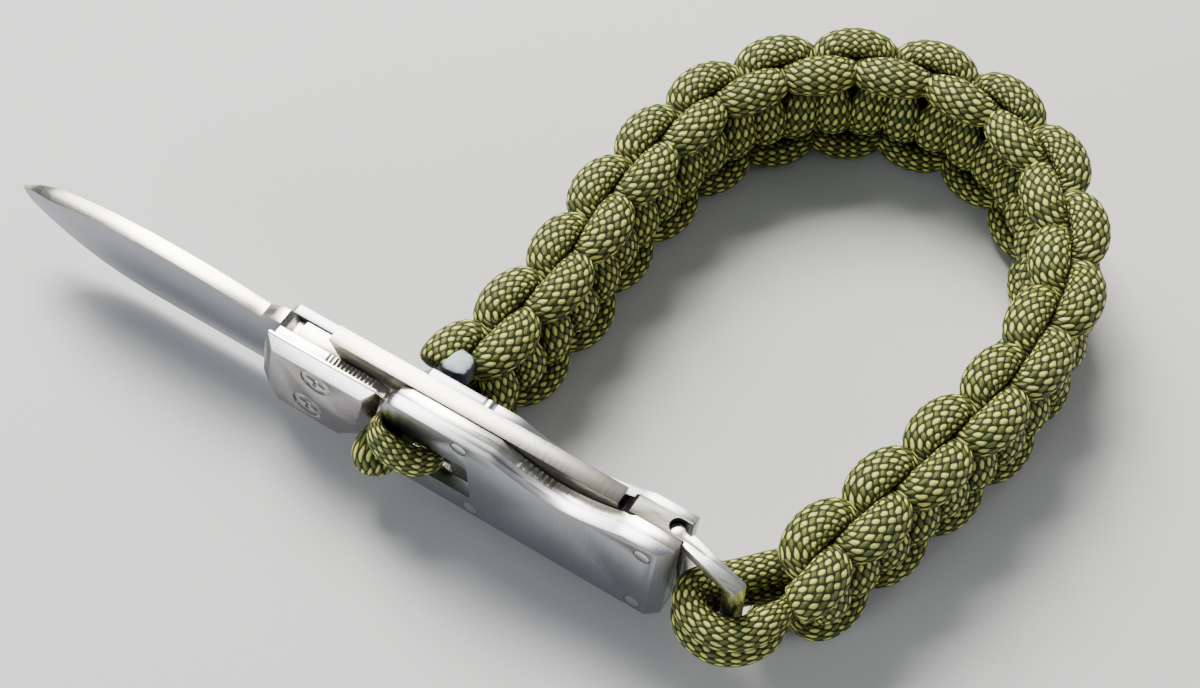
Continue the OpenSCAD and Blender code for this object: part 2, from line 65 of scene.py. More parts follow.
VECTOR = "FLOAT_VECTOR"
NOISE_MIDDLE = 0.5
WELD = 2e-6  # metres
BEVEL_WELD = 1e-6
FLAT_WITHIN = 1.0  # degrees, as are the next two
ROUNDED_OVER = 28.0
CREASED_OVER = 35.0
BEVEL_SEGMENTS = 2
BEVEL_PROFILE = 0.6
END_RINGS = 5  # rings in each rounded end of a cord
END_REACH = 0.55  # shares of the cord's radius
END_TIP = 0.002


class Brushing(Enum):
    """The way of a steel surface's grain: how fine it is along X, Y and Z."""

    ALONG = (0.03, 1.0, 1.0)
    UPRIGHT = (1.0, 1.0, 0.03)
    ACROSS = (1.0, 0.04, 1.0)
    SATIN = (0.6, 0.9, 0.8)


class Face(Enum):
    """The face of the band on which a cord of the weave crosses."""

    OUTER = 1
    INNER = -1


def housing_origin() -> Array:
    """The front plate's lower left front corner, in millimetres in the row frame."""
    low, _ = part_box("front_plate")
    return np.array([low[0], low[1], 0.0]) / MM


# --- node helpers


class Wiring:
    """Makes nodes and links in one tree."""

    def __init__(self, tree: Tree) -> None:
        """Starts with an empty tree."""
        self.tree = tree
        tree.nodes.clear()

    def add(self, kind: str, given: dict[str, object] | None = None, **settings: object) -> bpy.types.Node:
        """Adds a node.

        Args:
            kind: the node's class name.
            given: a socket or a plain value for each named input.
            settings: the node's properties.

        Returns:
            The new node.
        """
        node = self.tree.nodes.new(kind)
        for name, value in settings.items():
            setattr(node, name, value)
        for name, source in (given or {}).items():
            self.put(source, node.inputs[name])
        return node

    def put(self, source: object, target: Socket) -> None:
        """Links a socket to a socket, or sets a plain value on it.

        Args:
            source: the socket or value.
            target: the input that gets it.
        """
        if isinstance(source, Socket):
            self.tree.links.new(source, target)
        else:
            target.default_value = source

    def math(self, work: str, a: object, b: object = 0.0) -> Socket:
        """One Math node.

        Args:
            work: the operation.
            a: the first socket or number.
            b: the second one, where the operation takes two.

        Returns:
            Its value.
        """
        node = self.add("ShaderNodeMath", operation=work)
        self.put(a, node.inputs[0])
        self.put(b, node.inputs[1])
        return node.outputs[0]

    def swing(self, value: object, amount: object, middle: float = NOISE_MIDDLE) -> Socket:
        """How far a value lies above a middle, times an amount."""
        return self.math("MULTIPLY", self.math("SUBTRACT", value, middle), amount)

    def vector(self, work: str, a: object, b: object) -> Socket:
        """One Vector Math node.

        Args:
            work: the operation.
            a: the first vector.
            b: the second vector, or for SCALE the number.

        Returns:
            Its vector.
        """
        node = self.add("ShaderNodeVectorMath", operation=work)
        self.put(a, node.inputs[0])
        self.put(b, node.inputs["Scale"] if work == "SCALE" else node.inputs[1])
        return node.outputs[0]

    def split(self, vector: object) -> Sequence[Socket]:
        """The X, Y and Z of a vector."""
        return self.add("ShaderNodeSeparateXYZ", {"Vector": vector}).outputs

    def joined(self, x: object, y: object) -> Socket:
        """A vector of an X and a Y."""
        return self.add("ShaderNodeCombineXYZ", {"X": x, "Y": y}).outputs[0]

    def mix(self, factor: object, a: object, b: object, kind: str = "RGBA") -> Socket:
        """One Mix node.

        Args:
            factor: the second one's share.
            a: the first colour or number.
            b: the second one.
            kind: RGBA for colours or FLOAT for numbers.

        Returns:
            Its result.
        """
        node = self.add("ShaderNodeMix", data_type=kind)
        first, result = {"FLOAT": (2, 0), "RGBA": (6, 2)}[kind]
        self.put(factor, node.inputs[0])
        self.put(a, node.inputs[first])
        self.put(b, node.inputs[first + 1])
        return node.outputs[result]

    def ramp(self, value: object, *stops: tuple[float, Colour]) -> Socket:
        """A colour ramp.

        Args:
            value: what it follows.
            stops: the place and colour of each of its two stops.

        Returns:
            Its colour.
        """
        node = self.add("ShaderNodeValToRGB", {"Fac": value})
        for element, (place, colour) in zip(node.color_ramp.elements, stops):
            element.position = place
            element.color = (*colour, 1.0)
        return node.outputs[0]

    def noise(self, vector: object, look: Noise) -> Socket:
        """A noise texture's value."""
        given = dict(zip(("Scale", "Detail", "Roughness"), look), Vector=vector)
        return self.add("ShaderNodeTexNoise", given).outputs["Fac"]


def shader_group(
    name: str,
    inputs: Sequence[tuple[str, str, object]],
    outputs: Sequence[tuple[str, str]],
    build: Callable[[Wiring, Sockets], Sockets],
) -> Tree:
    """Builds one shader node group.

    Args:
        name: the group's name.
        inputs: name, socket type and default of each input.
        outputs: name and socket type of each output.
        build: makes the inside and says which socket feeds each output.

    Returns:
        The group.
    """
    tree = bpy.data.node_groups.new(name, "ShaderNodeTree")
    for title, kind, value in inputs:
        socket = tree.interface.new_socket(title, in_out="INPUT", socket_type=kind)
        socket.default_value = value
    for title, kind in outputs:
        tree.interface.new_socket(title, in_out="OUTPUT", socket_type=kind)
    wires = Wiring(tree)
    entry = wires.add("NodeGroupInput")
    leave = wires.add("NodeGroupOutput")
    found = build(wires, {socket.name: socket for socket in entry.outputs if socket.name})
    for title, socket in found.items():
        wires.put(socket, leave.inputs[title])
    return tree


@dataclass(frozen=True)
class BrushedLook:
    """The brushing and smudges that every steel finish shares, as one node group."""

    grain: Noise = (14000.0, 4.0, 0.65)
    coarse: Noise = (4200.0, 2.0, 0.5)
    smudge: Noise = (140.0, 4.0, 0.55)
    grain_share: float = 0.78
    coarse_share: float = 0.22
    smudge_shade: float = 0.08
    grain_roughness: float = 0.25
    smudge_roughness: float = 0.10

    def inside(self, w: Wiring, given: Sockets) -> Sockets:
        """Lays the grain, then smudges over it.

        Args:
            w: the group's wiring.
            given: the group's inputs.

        Returns:
            What feeds each of its outputs.
        """
        place = w.add("ShaderNodeTexCoord").outputs["Object"]
        stretch = w.vector("MULTIPLY", place, given["Grain way"])
        fine = w.math("MULTIPLY", w.noise(stretch, self.grain), self.grain_share)
        coarse = w.math("MULTIPLY", w.noise(stretch, self.coarse), self.coarse_share)
        smudge = w.noise(place, self.smudge)
        both = w.math("ADD", fine, coarse)
        shade = w.math("ADD", w.swing(both, given["Contrast"]), 1.0)
        cloud = w.math("ADD", w.swing(smudge, self.smudge_shade), shade)
        rough = w.math("ADD", given["Roughness"], w.swing(both, self.grain_roughness))
        rough = w.math("ADD", rough, w.swing(smudge, self.smudge_roughness))
        return {"Colour": w.vector("SCALE", given["Colour"], cloud), "Roughness": rough, "Height": both}

    def group(self) -> Tree:
        """Makes the group."""
        return shader_group(
            "brushed_metal",
            [("Colour", "NodeSocketColor", (0.6, 0.6, 0.6, 1.0)),
             ("Grain way", "NodeSocketVector", (1.0, 1.0, 1.0)),
             ("Contrast", "NodeSocketFloat", 0.5),
             ("Roughness", "NodeSocketFloat", 0.3)],
            [("Colour", "NodeSocketColor"), ("Roughness", "NodeSocketFloat"), ("Height", "NodeSocketFloat")],
            self.inside,
        )


@dataclass(frozen=True)
class BraidLook:
    """The two-way braid of a paracord's sheath on the cord's own UV map, with painted sheen, highlights and
    shade, as one node group.
    """

    wander: Noise = (1.1, 2.0, 0.5)
    wander_cells: float = 0.5
    long_power: float = 2.6
    short_power: float = 2.0
    short_weight: float = 1.7
    threads_in_yarn: float = 4.0
    crown_power: float = 0.6
    # Painted sheen: how much paler the yarns of one way are than those of the other.
    painted_sheen_way: float = 0.80
    fleck_chance: float = 0.14
    thread_tone: float = 0.05
    # Painted highlight: how pale the foot and the crown of each grain are.
    painted_light_at_foot: float = 0.25
    painted_light_on_crown: float = 0.9
    # Painted shade in the gaps between grains: where it begins and how fast it darkens.
    gap_from: float = 0.30
    gap_steepness: float = 1.7
    # Painted shade in creases: how far the occlusion looks, its samples, and where and how strongly it
    # darkens the colour.
    painted_shade_reach: float = 2.6 * MM
    painted_shade_samples: int = 6
    painted_shade_from: float = 0.66
    painted_shade_steepness: float = 2.6
    painted_shade_depth: float = 0.93
    low_roughness: float = 0.74
    crown_polish: float = 0.26
    thread_height: float = 0.06

    @staticmethod
    def off_middle(w: Wiring, value: Socket, power: float) -> Socket:
        """How far a place lies from the middle of its cell, raised to a power."""
        off = w.math("ABSOLUTE", w.math("SUBTRACT", w.math("MULTIPLY", value, 2.0), 1.0))
        return w.math("POWER", off, power)

    def grain(self, w: Wiring, long: Socket, short: Socket) -> Socket:
        """A rounded grain that fills most of one cell, longer one way."""
        narrow = w.math("MULTIPLY", self.off_middle(w, short, self.short_power), self.short_weight)
        return w.math("SUBTRACT", 1.0, w.math("ADD", self.off_middle(w, long, self.long_power), narrow))

    def ply(self, w: Wiring, value: Socket) -> Socket:
        """The fine threads that lie side by side in one yarn."""
        return w.math("COSINE", w.math("MULTIPLY", value, 2 * math.pi * self.threads_in_yarn))

    def painted_crease_shade(self, w: Wiring) -> Socket:
        """Painted shade where other cord lies close by, as between two knots, found by an ambient occlusion
        node.

        Args:
            w: the group's wiring.

        Returns:
            The mask of the painted shade.
        """
        # Painted shade: the colour darkens where the occlusion node finds other cord close by.
        reach = {"Distance": self.painted_shade_reach}
        sky = w.add("ShaderNodeAmbientOcclusion", reach, samples=self.painted_shade_samples)
        short_of = w.math("SUBTRACT", self.painted_shade_from, sky.outputs["AO"])
        closed = w.math("MULTIPLY", short_of, self.painted_shade_steepness)
        closed.node.use_clamp = True
        return w.math("MULTIPLY", closed, self.painted_shade_depth)

    def inside(self, w: Wiring, given: Sockets) -> Sockets:
        """Works out which yarn lies on top in each cell, its rounded height and its colour, with painted
        sheen and highlights on the yarns and painted shade in the gaps and creases.

        Args:
            w: the group's wiring.
            given: the group's inputs.

        Returns:
            What feeds each of its outputs.
        """
        chart = w.add("ShaderNodeUVMap", uv_map="UVMap").outputs[0]
        parts = w.split(chart)
        around = w.math("MULTIPLY", parts[0], given["Yarns round"])
        along = w.math("MULTIPLY", parts[1], given["Cells per millimetre"])
        along = w.math("ADD", along, w.swing(w.noise(chart, self.wander), self.wander_cells))
        right = w.math("ADD", along, around)
        left = w.math("SUBTRACT", along, around)
        right_in, left_in = w.math("FRACT", right), w.math("FRACT", left)
        right_cell, left_cell = w.math("FLOOR", right), w.math("FLOOR", left)
        odd = w.math("FLOORED_MODULO", w.math("ADD", right_cell, left_cell), 2.0)
        on_top = w.math("GREATER_THAN", odd, 0.5)

        height = w.mix(on_top, self.grain(w, right_in, left_in), self.grain(w, left_in, right_in), "FLOAT")
        height.node.clamp_factor = True
        threads = w.mix(on_top, self.ply(w, left_in), self.ply(w, right_in), "FLOAT")
        crown = w.math("POWER", w.math("MAXIMUM", height, 0.0), self.crown_power)
        cell = w.joined(right_cell, left_cell)
        chance = w.add("ShaderNodeTexWhiteNoise", {"Vector": cell}, noise_dimensions="3D").outputs["Value"]

        # Painted sheen: the yarns that run one way are paler than those that run the other way.
        way = w.mix(on_top, self.painted_sheen_way, 0.0, "FLOAT")
        pale = w.math("ADD", w.math("MULTIPLY", chance, self.fleck_chance), way)
        pale = w.math("ADD", pale, w.math("MULTIPLY", threads, self.thread_tone))
        # Painted highlight: the crown of each grain is paler and its foot darker.
        lit = w.math("ADD", self.painted_light_at_foot, w.math("MULTIPLY", crown, self.painted_light_on_crown))
        pale = w.math("MULTIPLY", pale, lit)
        pale.node.use_clamp = True
        # The pale colour serves random pale flecks and the painted sheen and highlights.
        yarns = w.mix(pale, given["Yarn"], given["Fleck"])
        # Painted shade: the gaps between grains, and the creases, take the Shadow colour.
        fill = w.math("MULTIPLY", w.math("ADD", height, self.gap_from), self.gap_steepness)
        fill.node.use_clamp = True
        colour = w.mix(self.painted_crease_shade(w), w.mix(fill, given["Shadow"], yarns), given["Shadow"])
        rough = w.math("SUBTRACT", self.low_roughness, w.math("MULTIPLY", crown, self.crown_polish))
        relief = w.math("ADD", crown, w.math("MULTIPLY", threads, self.thread_height))
        return {"Colour": colour, "Height": relief, "Roughness": rough}

    def group(self) -> Tree:
        """Makes the group."""
        return shader_group(
            "braided_sheath",
            [("Shadow", "NodeSocketColor", (0.02, 0.03, 0.01, 1.0)),
             ("Yarn", "NodeSocketColor", (0.2, 0.22, 0.06, 1.0)),
             ("Fleck", "NodeSocketColor", (0.6, 0.62, 0.3, 1.0)),
             ("Yarns round", "NodeSocketFloat", 9.0),
             ("Cells per millimetre", "NodeSocketFloat", 0.7)],
            [("Colour", "NodeSocketColor"), ("Height", "NodeSocketFloat"), ("Roughness", "NodeSocketFloat")],
            self.inside,
        )


# --- finishes


def new_material(name: str) -> tuple[Material, Wiring]:
    """Makes an empty node material.

    Args:
        name: its name.

    Returns:
        The material and its wiring.
    """
    material = bpy.data.materials.new(name)
    material.use_nodes = True
    return material, Wiring(material.node_tree)


def close_surface(w: Wiring, height: Socket, strength: float, depth: float, given: dict[str, object]) -> None:
    """Ends a material with its bump, its Principled shader and its output.

    Args:
        w: the material's wiring.
        height: what the bump follows.
        strength: the bump's strength.
        depth: the bump's distance, in metres.
        given: a socket or a plain value for each input of the shader.
    """
    bump = w.add("ShaderNodeBump", {"Strength": strength, "Distance": depth, "Height": height})
    shader = w.add("ShaderNodeBsdfPrincipled", {**given, "Normal": bump.outputs[0]})
    w.add("ShaderNodeOutputMaterial", {"Surface": shader.outputs[0]})


@dataclass(frozen=True)
class SteelFinish:
    """A steel finish, with a painted highlight on its upward faces if wanted: a paler colour there, with its
    own grain and roughness.
    """

    name: str
    colour: Colour
    way: Brushing
    roughness: float
    contrast: float = 0.35
    relief: float = 0.12
    relief_depth: float = 0.00003
    anisotropy: float = 0.5
    painted_top_highlight: Colour | None = None
    top_roughness: float = 0.26
    top_contrast: float = 0.8
    top_from: float = 0.42
    top_steepness: float = 9.0

    def brushed(
        self, w: Wiring, group: Tree, colour: Colour, contrast: float, roughness: float
    ) -> bpy.types.Node:
        """Places the shared brushing, with the grain running this finish's way.

        Args:
            w: the material's wiring.
            group: the shared brushing group.
            colour: the steel's colour, or the paler colour of the painted highlight.
            contrast: how strongly the grain shows.
            roughness: the mean roughness.

        Returns:
            The group's node.
        """
        return w.add("ShaderNodeGroup", {
            "Colour": (*colour, 1.0), "Grain way": self.way.value,
            "Contrast": contrast, "Roughness": roughness}, node_tree=group)

    def material(self, group: Tree) -> Material:
        """Makes the material.

        Args:
            group: the shared brushing group.

        Returns:
            The new material.
        """
        material, w = new_material(self.name)
        brushed = self.brushed(w, group, self.colour, self.contrast, self.roughness)
        colour, rough = brushed.outputs["Colour"], brushed.outputs["Roughness"]
        # Painted highlight: faces that look up take the paler steel colour.
        if self.painted_top_highlight is not None:
            facing = w.split(w.add("ShaderNodeTexCoord").outputs["Normal"])
            top = w.swing(facing[2], self.top_steepness, self.top_from)
            top.node.use_clamp = True
            highlight_look = self.brushed(w, group, self.painted_top_highlight, self.top_contrast, self.top_roughness)
            colour = w.mix(top, colour, highlight_look.outputs["Colour"])
            rough = w.mix(top, rough, highlight_look.outputs["Roughness"], "FLOAT")
        close_surface(w, brushed.outputs["Height"], self.relief, self.relief_depth, {
            "Metallic": 1.0, "Anisotropic": self.anisotropy, "Base Color": colour, "Roughness": rough})
        return material


@dataclass(frozen=True)
class SheathFinish:
    """The braided nylon sheath of the cord."""

    name: str
    shadow: Colour
    yarn: Colour
    fleck_and_sheen: Colour
    yarns_round: float = 14.0
    cells_per_mm: float = 0.80
    relief: float = 0.9
    relief_depth: float = 0.00022
    specular: float = 0.30

    def material(self, group: Tree) -> Material:
        """Makes the material.

        Args:
            group: the shared braid group.

        Returns:
            The new material.
        """
        material, w = new_material(self.name)
        braid = w.add("ShaderNodeGroup", {
            "Shadow": (*self.shadow, 1.0), "Yarn": (*self.yarn, 1.0), "Fleck": (*self.fleck_and_sheen, 1.0),
            "Yarns round": self.yarns_round, "Cells per millimetre": self.cells_per_mm}, node_tree=group)
        close_surface(w, braid.outputs["Height"], self.relief, self.relief_depth, {
            "Specular IOR Level": self.specular, "Base Color": braid.outputs["Colour"],
            "Roughness": braid.outputs["Roughness"]})
        return material


@dataclass(frozen=True)
class MeltedFinish:
    """Nylon that was melted and pressed: dark, hard and a little glossy, with a painted highlight on its
    upward faces.
    """

    name: str = "melted_cord_end"
    dark: Colour = (0.012, 0.016, 0.020)
    pale: Colour = (0.42, 0.50, 0.55)
    dark_at: float = 0.28
    pale_at: float = 0.54
    spots: Noise = (1500.0, 5.0, 0.65)
    clouds: Noise = (420.0, 3.0, 0.5)
    spots_share: float = 0.65
    clouds_share: float = 0.35
    # Painted highlight: from where and how strongly upward faces turn pale.
    top_from: float = 0.86
    top_highlight_gain: float = 1.5
    roughness: float = 0.3
    spots_roughness: float = 0.3
    relief: float = 0.7
    relief_depth: float = 0.0002
    specular: float = 0.55

    def material(self) -> Material:
        """Makes the material.

        Returns:
            The new material.
        """
        material, w = new_material(self.name)
        place = w.add("ShaderNodeTexCoord").outputs["Object"]
        spots = w.noise(place, self.spots)
        clouds = w.math("MULTIPLY", w.noise(place, self.clouds), self.clouds_share)
        facing = w.split(w.add("ShaderNodeNewGeometry").outputs["Normal"])
        tone = w.math("ADD", w.math("MULTIPLY", spots, self.spots_share), clouds)
        # Painted highlight on upward faces; the noise gives the real mottling between dark and pale.
        tone = w.math("ADD", tone, w.swing(facing[2], self.top_highlight_gain, self.top_from))
        colour = w.ramp(tone, (self.dark_at, self.dark), (self.pale_at, self.pale))
        rough = w.math("ADD", self.roughness, w.math("MULTIPLY", spots, self.spots_roughness))
        close_surface(w, spots, self.relief, self.relief_depth, {
            "Specular IOR Level": self.specular, "Base Color": colour, "Roughness": rough})
        return material


@dataclass
class Finishes:
    """Every finish of the bracelet, made once."""

    made: dict[str, Material] = field(default_factory=dict)

    def __post_init__(self) -> None:
        """Builds the shared groups and the materials."""
        metal = BrushedLook().group()
        braid = BraidLook().group()
        # The bolster and the blade carry a painted highlight on their upward faces.
        for steel in (
            SteelFinish("bolster_steel", (0.43, 0.41, 0.41), Brushing.ALONG, 0.26, 0.6,
                        painted_top_highlight=(0.80, 0.79, 0.74)),
            SteelFinish("liner_steel", (0.60, 0.58, 0.52), Brushing.ACROSS, 0.28, 0.3),
            SteelFinish("plate_steel", (0.36, 0.37, 0.39), Brushing.UPRIGHT, 0.32, 0.75),
            SteelFinish("blade_steel", (0.34, 0.355, 0.39), Brushing.UPRIGHT, 0.56, 0.4,
                        painted_top_highlight=(0.50, 0.48, 0.41)),
            SteelFinish("fastener_steel", (0.60, 0.59, 0.56), Brushing.SATIN, 0.22, 0.25),
            SteelFinish("lock_steel", (0.40, 0.39, 0.33), Brushing.ACROSS, 0.30, 0.35),
            SteelFinish("block_steel", (0.14, 0.14, 0.12), Brushing.SATIN, 0.34, 0.35),
            SteelFinish("bail_steel", (0.62, 0.62, 0.60), Brushing.ALONG, 0.28, 0.3),
        ):
            self.made[steel.name] = steel.material(metal)
        # The cord's shadow colour is painted shade; its pale colour serves random flecks and painted sheen.
        cord = SheathFinish("cord", (0.007, 0.011, 0.001), (0.062, 0.084, 0.009), (0.64, 0.65, 0.15))
        self.made["cord"] = cord.material(braid)
        self.made["melted_cord"] = MeltedFinish().material()

    def of(self, slot: str) -> Material:
        """The material of one slot."""
        return self.made[slot]


# --- mesh helpers


def new_piece(name: str, mesh: bpy.types.Mesh) -> bpy.types.Object:
    """Links a mesh into the scene.

    Args:
        name: the name of its object.
        mesh: the mesh.

    Returns:
        The object.
    """
    piece = bpy.data.objects.new(name, mesh)
    bpy.context.scene.collection.objects.link(piece)
    return piece


def mesh_of(name: str, bm: bmesh.types.BMesh) -> bpy.types.Mesh:
    """Makes a mesh of a BMesh, which is freed.

    Args:
        name: the mesh's name.
        bm: the BMesh.

    Returns:
        The mesh.
    """
    mesh = bpy.data.meshes.new(name)
    bm.to_mesh(mesh)
    bm.free()
    return mesh


def dress(piece: bpy.types.Object, body: str, slot: str, *nodes: str) -> None:
    """Puts a finished piece on its body, in place of its CAD nodes.

    Args:
        piece: the finished piece.
        body: the body that it rides on.
        slot: its material slot; not used.
        nodes: the CAD nodes that it replaces.
    """
    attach(piece, body)
    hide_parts(*nodes)
    LOG.info("%s: %d faces, on %s", piece.name, len(piece.data.polygons), body)


def sharp_edges(bm: bmesh.types.BMesh, degrees: float) -> list[bmesh.types.BMEdge]:
    """The edges at which two faces meet more sharply than an angle."""
    return [e for e in bm.edges if len(e.link_faces) == 2 and e.calc_face_angle(0.0) > math.radians(degrees)]


def sharpen(bm: bmesh.types.BMesh, degrees: float) -> None:
    """Smooths the faces and marks sharp edges, so that flats stay flat.

    Args:
        bm: the piece.
        degrees: edges sharper than this are marked.
    """
    for face in bm.faces:
        face.smooth = True
    for edge in sharp_edges(bm, degrees):
        edge.smooth = False


def eased_copy(node: str, name: str, width: float) -> bpy.types.Object:
    """Copies a CAD node and gives its edges a small rounded break.

    Args:
        node: the CAD node.
        name: the new piece's name.
        width: width of the rounding in millimetres.

    Returns:
        The new piece, at rest in the row frame.
    """
    bm = bmesh.new()
    bm.from_mesh(frame["nodes"][node].data)
    bmesh.ops.remove_doubles(bm, verts=bm.verts, dist=WELD)
    bmesh.ops.dissolve_limit(bm, angle_limit=math.radians(FLAT_WITHIN), verts=bm.verts, edges=bm.edges)
    bm.normal_update()
    bmesh.ops.bevel(bm, geom=sharp_edges(bm, ROUNDED_OVER), offset=width * MM, segments=BEVEL_SEGMENTS,
                    profile=BEVEL_PROFILE, affect="EDGES", clamp_overlap=True, offset_type="OFFSET")
    bmesh.ops.remove_doubles(bm, verts=bm.verts, dist=BEVEL_WELD)
    bm.normal_update()
    sharpen(bm, CREASED_OVER)
    return new_piece(name, mesh_of(name, bm))


def unit_rows(rows: Array) -> Array:
    """Each row of an array scaled to length one."""
    return rows / np.maximum(np.linalg.norm(rows, axis=1, keepdims=True), 1e-12)


def run_along(line: Array) -> Array:
    """The length from a line's start to each of its points."""
    return np.concatenate([[0.0], np.cumsum(np.linalg.norm(np.diff(line, axis=0), axis=1))])


def square_to(way: Array, axis: Array) -> Array:
    """Each row of axis turned square to the same row of way, with length one."""
    return unit_rows(axis - way * np.sum(axis * way, axis=1, keepdims=True))


def catmull_rom(points: Array, steps: int) -> Array:
    """A smooth curve through the points, in the same way as the part's source.

    Args:
        points: one row for each point.
        steps: samples in each span.

    Returns:
        The samples.
    """
    last = len(points) - 1
    found = []
    for i in range(last):
        a, b, c, d = (points[max(0, min(last, i + k))] for k in (-1, 0, 1, 2))
        for f in np.arange(steps) / steps:
            found.append(0.5 * (2 * b + (c - a) * f + (2 * a - 5 * b + 4 * c - d) * f * f
                                + (3 * b - a - 3 * c + d) * f**3))
    found.append(points[last])
    return np.array(found)


# --- the cords


@dataclass
class CordLine:
    """A cord's middle line with the shape of its section at each point, in millimetres."""

    centre: Array
    out: Array
    high: Array
    wide: Array

    def closed(self) -> "CordLine":
        """Adds a rounded end at each end of the line.

        Returns:
            The longer line.
        """
        way = unit_rows(np.gradient(self.centre, axis=0))
        angles = np.linspace(0.0, math.pi / 2, END_RINGS + 1)[1:]
        shrink = np.maximum(np.cos(angles), END_TIP)
        ends = []
        for end, sign in ((0, -1.0), (-1, 1.0)):
            reach = END_REACH * min(self.high[end], self.wide[end])
            centre = self.centre[end] + sign * way[end] * reach * np.sin(angles)[:, None]
            order = slice(None, None, -1) if end == 0 else slice(None)
            ends.append((centre[order], np.repeat(self.out[end][None], END_RINGS, 0),
                         (self.high[end] * shrink)[order], (self.wide[end] * shrink)[order]))
        middle = (self.centre, self.out, self.high, self.wide)
        return CordLine(*(np.concatenate(rows) for rows in zip(ends[0], middle, ends[1])))


class CordTube:
    """Geometry Nodes tree that wraps a round or flattened tube round a line of points."""

    def __init__(self, material: Material) -> None:
        """Builds the tree.

        Args:
            material: the sheath's material.
        """
        tree = bpy.data.node_groups.new("cord_tube", "GeometryNodeTree")
        tree.interface.new_socket("Geometry", in_out="INPUT", socket_type="NodeSocketGeometry")
        self.sides = tree.interface.new_socket("Sides", in_out="INPUT", socket_type="NodeSocketInt")
        self.finish = tree.interface.new_socket("Finish", in_out="INPUT", socket_type="NodeSocketMaterial")
        tree.interface.new_socket("Geometry", in_out="OUTPUT", socket_type="NodeSocketGeometry")
        self.tree = tree
        self.material = material
        w = Wiring(tree)
        entry = w.add("NodeGroupInput").outputs
        leave = w.add("NodeGroupOutput")
        tube = self.swept(w, entry["Geometry"], entry["Sides"])
        turn = self.read(w, "turn", "FLOAT")
        place = w.add("GeometryNodeSetPosition", {"Geometry": tube, "Position": self.position(w, turn)})
        chart = w.joined(turn, self.read(w, "run", "FLOAT"))
        given = {"Name": "UVMap", "Geometry": place.outputs[0], "Value": chart}
        uv = w.add("GeometryNodeStoreNamedAttribute", given, data_type="FLOAT2", domain="CORNER")
        seam = w.add("GeometryNodeMergeByDistance", {"Distance": WELD, "Geometry": uv.outputs[0]})
        smooth = w.add("GeometryNodeSetShadeSmooth", {"Geometry": seam.outputs[0]})
        real = w.add("GeometryNodeRealizeInstances", {"Geometry": smooth.outputs[0]})
        coat = w.add("GeometryNodeSetMaterial", {"Geometry": real.outputs[0], "Material": entry["Finish"]})
        w.put(coat.outputs[0], leave.inputs["Geometry"])

    @staticmethod
    def read(w: Wiring, name: str, kind: str) -> Socket:
        """A named attribute of the line, as a socket."""
        return w.add("GeometryNodeInputNamedAttribute", {"Name": name}, data_type=kind).outputs["Attribute"]

    @staticmethod
    def swept(w: Wiring, line: Socket, sides: Socket) -> Socket:
        """Sweeps an open ring, whose points know their turn, along the line.

        Args:
            w: the tree's wiring.
            line: the line's mesh.
            sides: faces round the cord.

        Returns:
            The tube's mesh.
        """
        curve = w.add("GeometryNodeMeshToCurve", {"Mesh": line})
        ring = w.add("GeometryNodeCurveArc", {
            "Resolution": w.math("ADD", sides, 1.0), "Radius": 1.0, "Sweep Angle": 2 * math.pi})
        share = w.add("GeometryNodeSplineParameter").outputs["Factor"]
        given = {"Name": "turn", "Geometry": ring.outputs["Curve"], "Value": share}
        turn = w.add("GeometryNodeStoreNamedAttribute", given, data_type="FLOAT", domain="POINT")
        tube = w.add("GeometryNodeCurveToMesh", {
            "Curve": curve.outputs[0], "Profile Curve": turn.outputs["Geometry"]})
        return tube.outputs["Mesh"]

    def position(self, w: Wiring, turn: Socket) -> Socket:
        """Where each point of the tube lies, from the line's own axes and sizes.

        Args:
            w: the tree's wiring.
            turn: the point's turn round the cord, from 0 to 1.

        Returns:
            The position.
        """
        angle = w.math("MULTIPLY", turn, 2 * math.pi)
        total = self.read(w, "middle", VECTOR)
        for axis, size, wave in (("out_way", "high", "COSINE"), ("side_way", "wide", "SINE")):
            reach = w.math("MULTIPLY", w.math(wave, angle), self.read(w, size, "FLOAT"))
            total = w.vector("ADD", total, w.vector("SCALE", self.read(w, axis, VECTOR), reach))
        return total

    @staticmethod
    def line_mesh(name: str, line: CordLine) -> bpy.types.Mesh:
        """Makes a mesh of a line, with its axes, sizes and length as attributes.

        Args:
            name: the mesh's name.
            line: the line, in the row frame.

        Returns:
            The mesh.
        """
        way = unit_rows(np.gradient(line.centre, axis=0))
        out = square_to(way, line.out)
        mesh = bpy.data.meshes.new(name)
        mesh.from_pydata((line.centre * MM).tolist(), [(i, i + 1) for i in range(len(line.centre) - 1)], [])
        for title, kind, values in (
            ("middle", VECTOR, line.centre * MM), ("out_way", VECTOR, out),
            ("side_way", VECTOR, np.cross(way, out)), ("high", "FLOAT", line.high * MM),
            ("wide", "FLOAT", line.wide * MM), ("run", "FLOAT", run_along(line.centre)),
        ):
            layer = mesh.attributes.new(title, kind, "POINT")
            part = "vector" if kind == VECTOR else "value"
            layer.data.foreach_set(part, np.ascontiguousarray(values).ravel())
        return mesh

    def wrap(self, name: str, line: CordLine, sides: int) -> bpy.types.Object:
        """Makes one cord.

        Args:
            name: the piece's name.
            line: its middle line and sections, in the row frame.
            sides: faces round the cord.

        Returns:
            The cord as a plain mesh piece.
        """
        rough = new_piece(name + "_line", self.line_mesh(name + "_line", line.closed()))
        modifier = rough.modifiers.new("tube", "NODES")
        modifier.node_group = self.tree
        modifier[self.sides.identifier] = sides
        modifier[self.finish.identifier] = self.material
        bpy.context.view_layer.update()
        solid = bpy.data.meshes.new_from_object(rough.evaluated_get(bpy.context.evaluated_depsgraph_get()))
        bpy.data.objects.remove(rough)
        for title in ("middle", "out_way", "side_way", "high", "wide", "run", "turn"):
            if title in solid.attributes:
                solid.attributes.remove(solid.attributes[title])
        bm = bmesh.new()
        bm.from_mesh(solid)
        bmesh.ops.recalc_face_normals(bm, faces=bm.faces)
        bm.to_mesh(solid)
        bm.free()
        solid.name = name
        return new_piece(name, solid)


